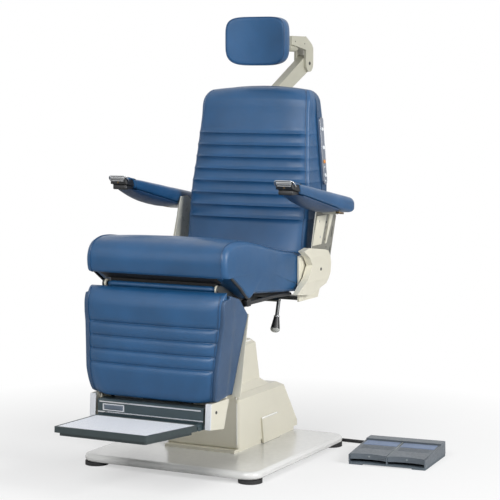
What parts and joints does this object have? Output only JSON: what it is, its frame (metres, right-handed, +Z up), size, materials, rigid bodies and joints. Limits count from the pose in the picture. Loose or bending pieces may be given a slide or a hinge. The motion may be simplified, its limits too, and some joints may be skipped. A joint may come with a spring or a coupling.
{
  "type": "ophthalmic examination chair",
  "caption": "Powered eye-examination chair with padded seat, reclining back, leg rest, foot plate, lift-up arms, headrest and corded foot control.",
  "frame": {"origin": "on the floor at the centre of the four feet, on the axis of the lift column", "axes": "+Z up, the chair faces -Y, +X to the seated person's left"},
  "size_m": [1.0364, 1.4081, 1.4377],
  "materials": {
    "cream_paint": "satin",
    "base_paint": "satin",
    "rubber": "matte",
    "vinyl": "semi-gloss upholstery vinyl",
    "shell_vinyl": "satin moulded shell",
    "steel": "brushed",
    "cast_metal": "painted",
    "black_plastic": "matte",
    "control_plastic": "fine texture",
    "cord_rubber": "matte",
    "panel_metal": "anodised",
    "button_white": "gloss",
    "button_amber": "gloss",
    "box_paint": "satin",
    "mat_vinyl": "speckled"
  },
  "bodies": {
    "base": {"base_plate": "base_paint", "base_feet": "rubber", "plinth_frame": "cream_paint", "lower_shroud": "cream_paint", "tower_shroud": "cream_paint", "shroud_side_cover": "cream_paint", "guide_tube": "steel", "lift_cylinder": "cast_metal", "pump_unit": "cast_metal", "cord_glands": "black_plastic", "foot_control_base": "control_plastic", "foot_control_housing": "control_plastic", "foot_control_cord": "cord_rubber", "foot_control_coil": "cord_rubber"},
    "pedal_left_body": {"pedal_left": "control_plastic"},
    "pedal_right_body": {"pedal_right": "control_plastic"},
    "lift": {"lift_column": "steel", "lift_ram": "steel", "column_head": "cast_metal"},
    "seat": {"turntable": "steel", "seat_frame": "cream_paint", "seat_pan": "black_plastic", "seat_cushion": "vinyl", "side_plates": "steel", "pivot_shaft": "steel", "side_covers": "cream_paint", "arm_brackets": "steel", "bracket_covers": "cream_paint", "lock_block": "black_plastic"},
    "lever": {"lock_lever": "steel", "lever_knob": "black_plastic"},
    "back": {"back_frame": "steel", "back_shell": "shell_vinyl", "back_cushion": "vinyl", "switch_panel": "panel_metal", "head_mount": "cream_paint"},
    "switch_1": {"button_1": "button_white"},
    "switch_2": {"button_2": "button_white"},
    "switch_3": {"button_3": "button_amber"},
    "switch_4": {"button_4": "button_white"},
    "leg": {"leg_frame": "cream_paint", "leg_cushion": "vinyl", "leg_side_panels": "vinyl", "foot_box": "box_paint", "foot_box_trims": "panel_metal"},
    "foot": {"foot_plate": "box_paint", "foot_plate_mat": "mat_vinyl"},
    "arm_left": {"arm_core_left": "steel", "arm_pad_left": "vinyl", "arm_cover_left": "vinyl", "arm_cap_left": "black_plastic"},
    "arm_right": {"arm_core_right": "steel", "arm_pad_right": "vinyl", "arm_cover_right": "vinyl", "arm_cap_right": "black_plastic"},
    "head_arm": {"head_link": "cream_paint"},
    "head_joint": {"head_elbow": "cream_paint"},
    "head_slide": {"head_rod": "steel"},
    "headrest": {"head_bracket": "black_plastic", "head_pad": "vinyl"}
  },
  "joints": [
    {"name": "lift_column_slide", "type": "slide", "parent": "base", "child": "lift", "axis": [0, 0, 1], "range_m": [-0.105, 0.095]},
    {"name": "swivel", "type": "hinge", "parent": "lift", "child": "seat", "pos_m": [0, 0, 0.5], "axis": [0, 0, 1], "range_deg": [-150, 150]},
    {"name": "back_recline", "type": "hinge", "parent": "seat", "child": "back", "pos_m": [0, 0.244, 0.6142], "axis": [-1, 0, 0], "range_deg": [0, 65]},
    {"name": "leg_raise", "type": "hinge", "parent": "seat", "child": "leg", "pos_m": [0, -0.357, 0.5962], "axis": [-1, 0, 0], "range_deg": [0, 65]},
    {"name": "foot_plate_fold", "type": "hinge", "parent": "leg", "child": "foot", "pos_m": [0, -0.451, 0.1872], "axis": [-1, 0, 0], "range_deg": [0, 82]},
    {"name": "arm_lift_left", "type": "hinge", "parent": "seat", "child": "arm_left", "pos_m": [0.3, 0.254, 0.8062], "axis": [-1, 0, 0], "range_deg": [0, 95]},
    {"name": "arm_lift_right", "type": "hinge", "parent": "seat", "child": "arm_right", "pos_m": [-0.3, 0.254, 0.8062], "axis": [-1, 0, 0], "range_deg": [0, 95]},
    {"name": "brake_lever", "type": "hinge", "parent": "seat", "child": "lever", "pos_m": [0.226, 0.002, 0.5262], "axis": [1, 0, 0], "range_deg": [-20, 20]},
    {"name": "headrest_link", "type": "hinge", "parent": "back", "child": "head_arm", "pos_m": [0, 0.419, 1.1762], "axis": [1, 0, 0], "range_deg": [-30, 20]},
    {"name": "headrest_elbow", "type": "hinge", "parent": "head_arm", "child": "head_joint", "pos_m": [0, 0.65703, 1.28568], "axis": [1, 0, 0], "range_deg": [-40, 0]},
    {"name": "headrest_rod", "type": "slide", "parent": "head_joint", "child": "head_slide", "axis": [0, -1, 0], "range_m": [-0.05, 0.03]},
    {"name": "headrest_tilt", "type": "hinge", "parent": "head_slide", "child": "headrest", "pos_m": [0, 0.35903, 1.34168], "axis": [1, 0, 0], "range_deg": [-25, 25]},
    {"name": "pedal_left_press", "type": "hinge", "parent": "base", "child": "pedal_left_body", "pos_m": [0.55612, 0.25279, 0.027], "axis": [0.9962, 0.0872, 0], "range_deg": [0, 2.5], "stiffness_Nm_per_rad": 60, "springref_deg": -1.15},
    {"name": "pedal_right_press", "type": "hinge", "parent": "base", "child": "pedal_right_body", "pos_m": [0.55612, 0.25279, 0.027], "axis": [0.9962, 0.0872, 0], "range_deg": [0, 2.5], "stiffness_Nm_per_rad": 60, "springref_deg": -1.15},
    {"name": "switch_1_press", "type": "slide", "parent": "back", "child": "switch_1", "axis": [-0.997, 0, -0.078], "range_m": [0, 0.0012], "stiffness_N_per_m": 400, "springref_m": -0.0005},
    {"name": "switch_2_press", "type": "slide", "parent": "back", "child": "switch_2", "axis": [-0.997, 0, -0.078], "range_m": [0, 0.0012], "stiffness_N_per_m": 400, "springref_m": -0.0005},
    {"name": "switch_3_press", "type": "slide", "parent": "back", "child": "switch_3", "axis": [-0.997, 0, -0.078], "range_m": [0, 0.0012], "stiffness_N_per_m": 400, "springref_m": -0.0005},
    {"name": "switch_4_press", "type": "slide", "parent": "back", "child": "switch_4", "axis": [-0.997, 0, -0.078], "range_m": [0, 0.0012], "stiffness_N_per_m": 400, "springref_m": -0.0005}
  ],
  "couplings": [
    {"joint": "leg_raise", "follows": "back_recline", "ratio": 1}
  ]
}
